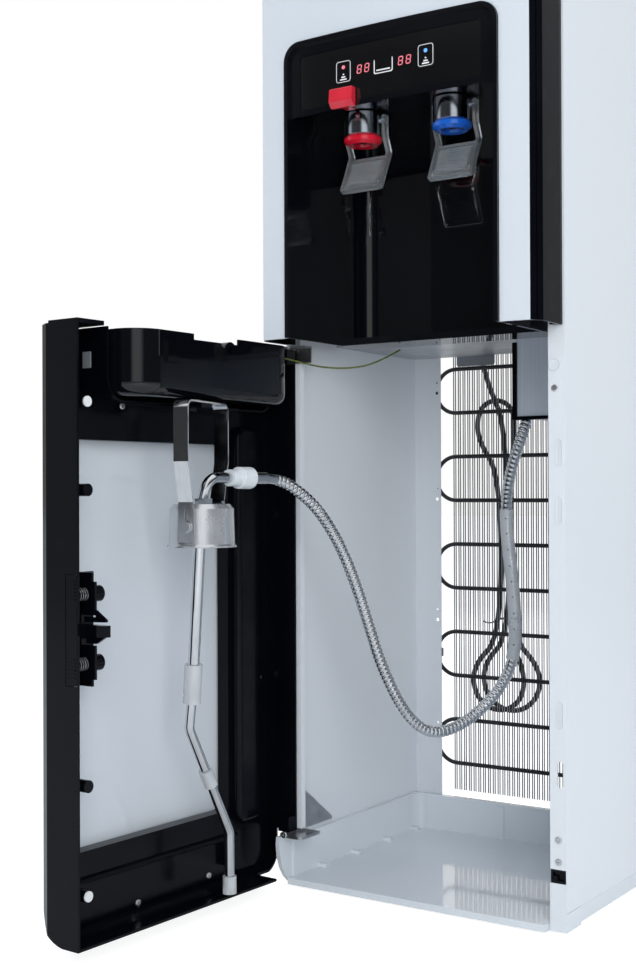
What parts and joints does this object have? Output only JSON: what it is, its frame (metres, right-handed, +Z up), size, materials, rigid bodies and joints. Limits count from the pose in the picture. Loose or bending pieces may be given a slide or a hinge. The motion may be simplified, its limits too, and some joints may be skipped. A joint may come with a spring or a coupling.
{
  "type": "bottom load water cooler",
  "caption": "Bottom load water cooler with its door open on the bottle bay, suction probe, pump box and a hot and a cold tap.",
  "frame": {"origin": "on the floor, midway between the side panels and midway between their front and rear flanges", "axes": "+Z up, the front faces -Y, +X is to the right of somebody who stands before the cooler"},
  "size_m": [0.3645, 0.6337, 1.04],
  "materials": {
    "white_paint": "gloss powder coat",
    "white_gloss": "high gloss",
    "white_plastic": "smooth moulded",
    "white_foam": "expanded foam",
    "black_gloss": "high gloss",
    "black_plastic": "fine texture",
    "black_rubber": "matt",
    "black_paint": "satin",
    "dark_chrome": "dark plated",
    "chrome": "polished",
    "stainless": "brushed",
    "galvanised": "zinc plated",
    "spring_steel": "drawn wire",
    "grey_wire": "satin",
    "red_plastic": "gloss",
    "blue_plastic": "gloss",
    "clear_plastic": "clear",
    "board_green": "solder mask",
    "copper": "drawn copper",
    "green_wire": "green and yellow sleeve"
  },
  "bodies": {
    "cabinet": {"left_side_panel": "white_paint", "right_side_panel": "white_paint", "top_cover": "white_plastic", "rear_panel": "white_paint", "deck_plate": "galvanised", "base_tray": "white_plastic", "foot_pads": "black_rubber", "hinge_slot_plug": "black_plastic", "upper_front_panel": "white_gloss", "front_trims": "black_gloss", "niche_liner": "black_gloss", "display_window": "black_gloss", "display_board": "board_green", "hot_tap_body": "dark_chrome", "cold_tap_body": "dark_chrome", "hot_tap_ring": "red_plastic", "cold_tap_ring": "blue_plastic", "cold_tank": "stainless", "tank_insulation": "white_foam", "hot_tank": "stainless", "compressor": "black_paint", "control_board": "board_green", "pump_box": "stainless", "box_edging": "black_rubber", "pump": "black_plastic", "condenser_tube": "black_paint", "condenser_wires": "grey_wire", "condenser_brackets": "galvanised", "upper_hinge": "galvanised", "lower_hinge": "galvanised", "water_pipes": "clear_plastic", "refrigerant_pipes": "copper", "power_cord": "black_rubber", "cord_hank": "black_rubber", "plug": "black_rubber", "cord_gland": "black_plastic", "hose": "stainless", "earth_wire": "green_wire"},
    "door": {"door_skin": "white_gloss", "door_frame": "black_gloss", "door_bumpers": "white_foam", "drip_pocket": "black_gloss", "latch_housing": "black_plastic", "latch_springs": "spring_steel", "probe_cap": "chrome", "probe_bail": "stainless", "bail_pivots": "stainless", "probe_elbow": "chrome", "union_nut": "white_plastic", "hose_ferrule": "chrome", "suction_tubes": "stainless", "tube_sleeves": "clear_plastic"},
    "latch": {"latch_slider": "black_plastic"},
    "hot_push_lever": {"hot_lever": "clear_plastic"},
    "cold_push_lever": {"cold_lever": "clear_plastic"},
    "hot_push_key": {"hot_key": "black_gloss"},
    "cold_push_key": {"cold_key": "black_gloss"},
    "child_lock_slide": {"child_lock": "red_plastic"},
    "tray": {"drip_tray": "black_plastic"},
    "grille": {"drip_grille": "stainless"}
  },
  "joints": [
    {"name": "door_hinge", "type": "hinge", "parent": "cabinet", "child": "door", "pos_m": [-0.148, -0.1405, 0.3], "axis": [0, 0, 1], "range_deg": [-20, 92.5], "deforming": ["hose", "earth_wire"]},
    {"name": "latch_slide", "type": "slide", "parent": "door", "child": "latch", "axis": [0.0436, 0.999, 0], "range_m": [0, 0.006], "stiffness_N_per_m": 400, "springref_m": -0.006, "deforming": ["latch_springs"]},
    {"name": "hot_lever_hinge", "type": "hinge", "parent": "cabinet", "child": "hot_push_lever", "pos_m": [-0.0495, -0.144, 0.768], "axis": [1, 0, 0], "range_deg": [0, 12], "stiffness_Nm_per_rad": 0.6, "springref_deg": -5.73},
    {"name": "cold_lever_hinge", "type": "hinge", "parent": "cabinet", "child": "cold_push_lever", "pos_m": [0.0495, -0.144, 0.768], "axis": [1, 0, 0], "range_deg": [0, 12], "stiffness_Nm_per_rad": 0.6, "springref_deg": -5.73},
    {"name": "child_lock_slide", "type": "slide", "parent": "cabinet", "child": "child_lock_slide", "axis": [0, 0, -1], "range_m": [0, 0.005], "stiffness_N_per_m": 300, "springref_m": -0.004},
    {"name": "hot_key_press", "type": "slide", "parent": "cabinet", "child": "hot_push_key", "axis": [0, 1, 0], "range_m": [0, 0.001], "stiffness_N_per_m": 800, "springref_m": -0.001},
    {"name": "cold_key_press", "type": "slide", "parent": "cabinet", "child": "cold_push_key", "axis": [0, 1, 0], "range_m": [0, 0.001], "stiffness_N_per_m": 800, "springref_m": -0.001},
    {"name": "drip_tray_lift", "type": "slide", "parent": "door", "child": "tray", "axis": [0, 0, 1], "range_m": [0, 0.05]},
    {"name": "drip_grille_lift", "type": "slide", "parent": "tray", "child": "grille", "axis": [0, 0, 1], "range_m": [0, 0.03]}
  ]
}
